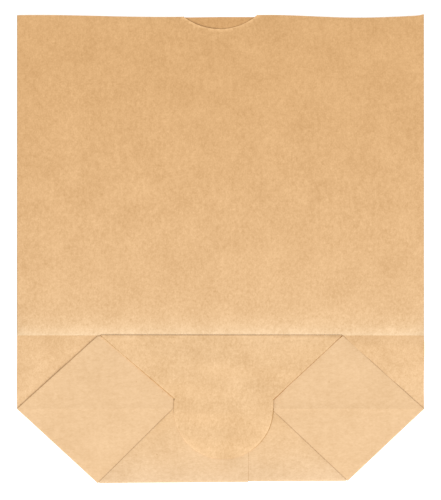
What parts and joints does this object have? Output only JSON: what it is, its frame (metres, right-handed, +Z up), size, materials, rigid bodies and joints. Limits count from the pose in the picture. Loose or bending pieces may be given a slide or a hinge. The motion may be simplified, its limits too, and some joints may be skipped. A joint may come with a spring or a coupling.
{
  "type": "paper bag puppet",
  "caption": "Plain kraft paper bag with a cross bottom, folded flat, as used for a bag puppet: the folded bottom lifts as its mouth and the bag opens at a thumb notch.",
  "frame": {"origin": "under the middle of the flat bag, on the surface it lies on", "axes": "+X across the bag to the right, +Y along it towards the open mouth, +Z up through the layers"},
  "size_m": [0.2, 0.229, 0.0014],
  "materials": {
    "kraft_paper": "matt, uncoated",
    "paste": "dry starch paste"
  },
  "bodies": {
    "root": {"back_flap_fold_left": "kraft_paper", "back_flap_fold_right": "kraft_paper", "back_flap_left": "kraft_paper", "back_flap_right": "kraft_paper", "back_flap_seam_paste": "paste", "back_panel_left": "kraft_paper", "back_panel_right": "kraft_paper", "back_seam_paste": "paste", "base_fold": "kraft_paper", "corner_fold_left_lower": "kraft_paper", "corner_fold_right_lower": "kraft_paper", "corner_left_lower": "kraft_paper", "corner_right_lower": "kraft_paper", "front_tuck": "kraft_paper", "gusset_left_lower": "kraft_paper", "gusset_right_lower": "kraft_paper", "side_fold_left": "kraft_paper", "side_fold_right": "kraft_paper", "tongue": "kraft_paper", "tongue_paste": "paste"},
    "front": {"front_panel": "kraft_paper"},
    "flap": {"front_flap": "kraft_paper", "flap_underside": "kraft_paper", "flap_crease_fold": "kraft_paper", "corner_left_upper": "kraft_paper", "corner_right_upper": "kraft_paper", "corner_fold_left_upper": "kraft_paper", "corner_fold_right_upper": "kraft_paper", "gusset_left_upper": "kraft_paper", "gusset_right_upper": "kraft_paper", "front_flap_fold_left": "kraft_paper", "front_flap_fold_right": "kraft_paper"}
  },
  "joints": [
    {"name": "flap_lift", "type": "hinge", "parent": "root", "child": "flap", "pos_m": [0, -0.0784, 0.0015], "axis": [1, 0, 0], "range_deg": [0, 165]},
    {"name": "mouth_opening", "type": "hinge", "parent": "root", "child": "front", "pos_m": [0, -0.0423, 0.0006], "axis": [1, 0, 0], "range_deg": [0, 8]}
  ]
}
